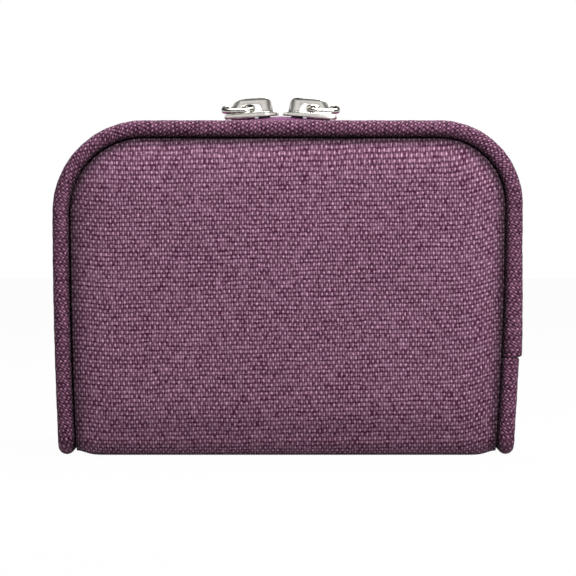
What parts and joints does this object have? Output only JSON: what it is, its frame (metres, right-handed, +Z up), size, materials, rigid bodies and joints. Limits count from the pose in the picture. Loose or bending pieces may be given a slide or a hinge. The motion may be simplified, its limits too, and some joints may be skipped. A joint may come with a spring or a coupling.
{
  "type": "wallet",
  "caption": "Compact zip-around wallet of woven cloth with piped edges and a flat spine, closed and standing, with sliders that run and ring pulls that swing.",
  "frame": {"origin": "on the ground under the middle of the wallet, at the centre of its box", "axes": "+X to the right of a person who faces the front panel, +Y away from that person, +Z up; the wallet stands on its flat spine"},
  "size_m": [0.118, 0.026, 0.0902],
  "materials": {
    "cover_cloth": "plain-woven two-tone purple cloth, dark warp and pale lilac weft, slight sheen",
    "piping_cloth": "the same cloth cut on the bias",
    "zip_tape": "fine magenta-purple polyester tape",
    "lining_cloth": "thin dark lining cloth",
    "padding_foam": "thin sheet foam",
    "filler_cord": "soft cotton cord",
    "zip_coil": "nylon coil dyed to the tape",
    "nickel": "bright nickel plate on cast zinc alloy"
  },
  "bodies": {
    "wallet": {"cover_fabric": "cover_cloth", "cover_padding": "padding_foam", "lining": "lining_cloth", "piping_fabric": "piping_cloth", "piping_cord": "filler_cord", "zip_tape_front": "zip_tape", "zip_tape_back": "zip_tape", "zip_coil_front": "zip_coil", "zip_coil_back": "zip_coil", "zip_stop_left": "nickel", "zip_stop_right": "nickel", "card_pocket_back": "lining_cloth", "card_pocket_middle": "lining_cloth", "card_pocket_front": "lining_cloth", "note_pocket": "lining_cloth"},
    "left_slider": {"slider_left": "nickel"},
    "right_slider": {"slider_right": "nickel"},
    "left_pull": {"pull_left": "nickel"},
    "right_pull": {"pull_right": "nickel"}
  },
  "joints": [
    {"name": "left_slider_run", "type": "slide", "parent": "wallet", "child": "left_slider", "axis": [-0.9969, 0, -0.0785], "range_m": [0, 0.02]},
    {"name": "right_slider_run", "type": "slide", "parent": "wallet", "child": "right_slider", "axis": [0.9969, 0, -0.0785], "range_m": [0, 0.02]},
    {"name": "left_pull_swing", "type": "hinge", "parent": "left_slider", "child": "left_pull", "pos_m": [-0.00889, 0, 0.08747], "axis": [0, 1, 0], "range_deg": [0, 140]},
    {"name": "right_pull_swing", "type": "hinge", "parent": "right_slider", "child": "right_pull", "pos_m": [0.00539, 0, 0.08747], "axis": [0, -1, 0], "range_deg": [0, 140]}
  ]
}
